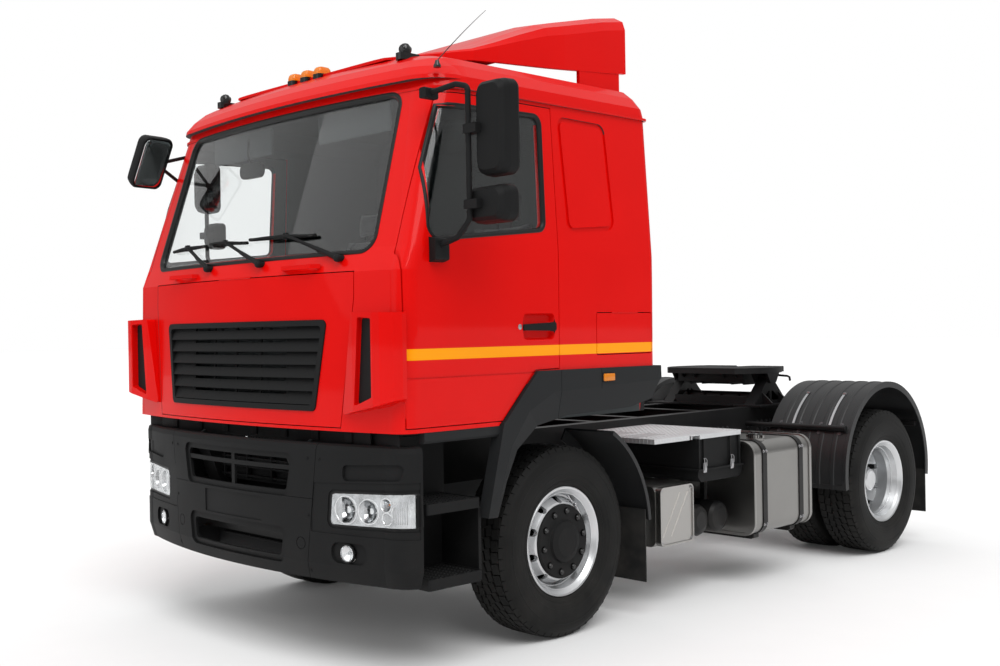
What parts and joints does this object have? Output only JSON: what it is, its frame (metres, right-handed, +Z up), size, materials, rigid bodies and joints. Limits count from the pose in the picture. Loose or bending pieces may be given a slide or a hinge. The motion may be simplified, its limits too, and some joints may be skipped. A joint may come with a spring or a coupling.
{
  "type": "semi truck tractor unit",
  "caption": "Cab-over two-axle tractor unit with tilting sleeper cab, steered front wheels, twin rear wheels and a coupling plate.",
  "frame": {"origin": "on the ground, in the middle of the overall length and width", "axes": "+Z up, +Y to the rear of the truck, +X to its left; the front faces -Y"},
  "size_m": [3.352, 5.6954, 3.5998],
  "materials": {
    "tyre": "matt",
    "rim": "silver satin",
    "frame": "black satin",
    "cast": "painted black",
    "cab_paint": "gloss red",
    "glass": "clear, slightly grey",
    "plastic_dark": "grained charcoal",
    "plastic_grey": "grained dark grey",
    "lamp": "clear lens",
    "aluminium": "brushed",
    "tread_plate": "tread plate",
    "rubber": "matt",
    "trim": "soft grained",
    "seat": "woven",
    "engine": "painted",
    "tail_lamp": "gloss"
  },
  "bodies": {
    "chassis": {"air_tanks": "frame", "battery_box": "plastic_dark", "bumper_corners": "plastic_dark", "cab_steps": "plastic_dark", "catwalk": "tread_plate", "crossmembers": "frame", "engine_block": "engine", "fender_bars": "frame", "fifth_wheel_base": "frame", "frame_rails": "frame", "front_axle": "cast", "front_beam": "frame", "front_bumper": "plastic_dark", "front_mudguards": "plastic_dark", "fuel_tanks": "aluminium", "gearbox_and_shaft": "engine", "headlamps": "lamp", "lamp_housings": "aluminium", "leaf_springs": "frame", "mudflaps": "rubber", "radiator": "aluminium", "rear_axle": "cast", "rear_fenders": "plastic_dark", "silencer": "aluminium", "tail_lamps": "tail_lamp", "tank_straps": "frame"},
    "cab": {"cab_body": "cab_paint", "cab_floor": "trim", "cab_roof": "cab_paint", "windscreen": "glass", "roof_spoiler": "cab_paint", "arch_flares": "plastic_grey", "corner_deflectors": "cab_paint", "kerb_mirror": "plastic_dark", "dashboard": "trim", "steering_wheel": "trim", "seats": "seat", "bunk": "seat", "wipers": "plastic_dark"},
    "door_left": {"door_left": "cab_paint", "door_glass_left": "glass", "mirrors_left": "plastic_dark"},
    "door_right": {"door_right": "cab_paint", "door_glass_right": "glass", "mirrors_right": "plastic_dark"},
    "flap": {"front_flap": "cab_paint", "grille": "plastic_dark"},
    "hatch_left": {"locker_hatch_left": "cab_paint"},
    "hatch_right": {"locker_hatch_right": "cab_paint"},
    "steer_left": {"knuckle_left": "cast"},
    "steer_right": {"knuckle_right": "cast"},
    "front_wheel_left": {"front_tyre_left": "tyre", "front_wheel_left": "rim"},
    "front_wheel_right": {"front_tyre_right": "tyre", "front_wheel_right": "rim"},
    "rear_wheels_left": {"rear_tyres_left": "tyre", "rear_wheels_left": "rim"},
    "rear_wheels_right": {"rear_tyres_right": "tyre", "rear_wheels_right": "rim"},
    "coupling": {"fifth_wheel_plate": "cast"}
  },
  "joints": [
    {"name": "cab_tilt", "type": "hinge", "parent": "chassis", "child": "cab", "pos_m": [0, -2.716, 1.1], "axis": [1, 0, 0], "range_deg": [0, 60]},
    {"name": "door_left_hinge", "type": "hinge", "parent": "cab", "child": "door_left", "pos_m": [1.226, -2.6555, 1.7], "axis": [0, 0, -1], "range_deg": [0, 70]},
    {"name": "door_right_hinge", "type": "hinge", "parent": "cab", "child": "door_right", "pos_m": [-1.226, -2.6555, 1.7], "axis": [0, 0, 1], "range_deg": [0, 70]},
    {"name": "flap_hinge", "type": "hinge", "parent": "cab", "child": "flap", "pos_m": [0, -2.7885, 2.0055], "axis": [-1, 0, 0], "range_deg": [0, 80]},
    {"name": "hatch_left_hinge", "type": "hinge", "parent": "cab", "child": "hatch_left", "pos_m": [1.25, -0.9785, 1.7925], "axis": [0, -1, 0], "range_deg": [0, 80]},
    {"name": "hatch_right_hinge", "type": "hinge", "parent": "cab", "child": "hatch_right", "pos_m": [-1.25, -0.9785, 1.7925], "axis": [0, 1, 0], "range_deg": [0, 80]},
    {"name": "steer_left_pivot", "type": "hinge", "parent": "chassis", "child": "steer_left", "pos_m": [0.88, -1.408, 0.531], "axis": [0, 0, 1], "range_deg": [-38, 38]},
    {"name": "steer_right_pivot", "type": "hinge", "parent": "chassis", "child": "steer_right", "pos_m": [-0.88, -1.408, 0.531], "axis": [0, 0, 1], "range_deg": [-38, 38]},
    {"name": "front_wheel_left_spin", "type": "hinge", "parent": "steer_left", "child": "front_wheel_left", "pos_m": [1.009, -1.408, 0.531], "axis": [1, 0, 0], "continuous": true},
    {"name": "front_wheel_right_spin", "type": "hinge", "parent": "steer_right", "child": "front_wheel_right", "pos_m": [-1.009, -1.408, 0.531], "axis": [1, 0, 0], "continuous": true},
    {"name": "rear_wheels_left_spin", "type": "hinge", "parent": "chassis", "child": "rear_wheels_left", "pos_m": [0.943, 2.142, 0.531], "axis": [1, 0, 0], "continuous": true},
    {"name": "rear_wheels_right_spin", "type": "hinge", "parent": "chassis", "child": "rear_wheels_right", "pos_m": [-0.943, 2.142, 0.531], "axis": [1, 0, 0], "continuous": true},
    {"name": "coupling_rock", "type": "hinge", "parent": "chassis", "child": "coupling", "pos_m": [0, 1.972, 1.29], "axis": [1, 0, 0], "range_deg": [-12, 12]}
  ],
  "couplings": [
    {"joint": "steer_right_pivot", "follows": "steer_left_pivot", "ratio": 1}
  ]
}
